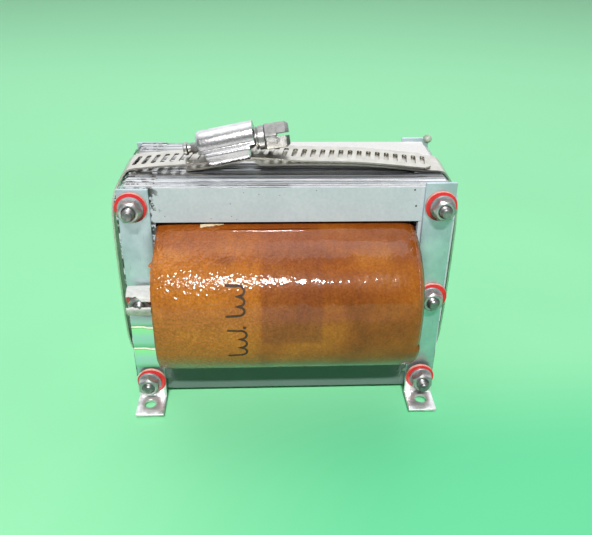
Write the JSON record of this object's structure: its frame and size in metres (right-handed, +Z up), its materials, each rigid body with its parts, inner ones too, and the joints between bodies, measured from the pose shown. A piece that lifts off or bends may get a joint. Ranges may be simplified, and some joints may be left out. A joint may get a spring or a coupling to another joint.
{
  "type": "tube amplifier transformer",
  "caption": "Open-frame laminated-core transformer with a paper-wrapped coil, clamping straps, through bolts, L feet and a worm-drive band clamp.",
  "frame": {"origin": "on the floor, at the centre of the four foot holes", "axes": "+X along the coil, +Y to the back, +Z up"},
  "size_m": [0.119, 0.09, 0.0985],
  "materials": {
    "lamination": "bare silicon-steel sheet, dull grey with darker edges",
    "card": "plain brown card",
    "copper": "copper wire and paper layers, seen at the coil's ends",
    "varnished_paper": "orange-brown insulating paper, glossy with varnish and crinkled",
    "strap_zinc": "smooth zinc-coated steel strip",
    "foot_zinc": "bright zinc-plated steel",
    "bolt_zinc": "bright zinc-plated steel",
    "red_fibre": "red vulcanised fibre, slightly shiny",
    "stainless": "bright rolled stainless steel",
    "screw_steel": "zinc-plated steel",
    "hard_drop": "hardened drop of clear varnish over grey metal, glossy",
    "white_paper": "plain white paper, bare",
    "seal_foil": "torn white film with a metallic sheen"
  },
  "bodies": {
    "root": {"core_top_bar": "lamination", "core_tongue": "lamination", "core_bottom_bar": "lamination", "core_limb_left": "lamination", "core_limb_right": "lamination", "coil_tube": "card", "coil_winding": "copper", "coil_wrap": "varnished_paper", "strap_front_left": "strap_zinc", "foot_front_left": "foot_zinc", "strap_front_right": "strap_zinc", "foot_front_right": "foot_zinc", "strap_back_left": "strap_zinc", "foot_back_left": "foot_zinc", "strap_back_right": "strap_zinc", "foot_back_right": "foot_zinc", "bolt_top_left": "bolt_zinc", "nut_top_left": "bolt_zinc", "fibre_washer_top_left": "red_fibre", "bolt_top_right": "bolt_zinc", "nut_top_right": "bolt_zinc", "fibre_washer_top_right": "red_fibre", "bolt_mid_left": "bolt_zinc", "nut_mid_left": "bolt_zinc", "fibre_washer_mid_left": "red_fibre", "bolt_mid_right": "bolt_zinc", "nut_mid_right": "bolt_zinc", "fibre_washer_mid_right": "red_fibre", "bolt_bottom_left": "bolt_zinc", "nut_bottom_left": "bolt_zinc", "fibre_washer_bottom_left": "red_fibre", "bolt_bottom_right": "bolt_zinc", "nut_bottom_right": "bolt_zinc", "fibre_washer_bottom_right": "red_fibre", "fibre_washers_back": "red_fibre", "flat_washers_front": "bolt_zinc", "flat_washers_back": "bolt_zinc", "clamp_band": "stainless", "clamp_housing": "stainless", "clamp_screw": "screw_steel", "corner_bead": "hard_drop", "paper_label": "white_paper", "seal_flaps": "seal_foil"}
  },
  "joints": []
}
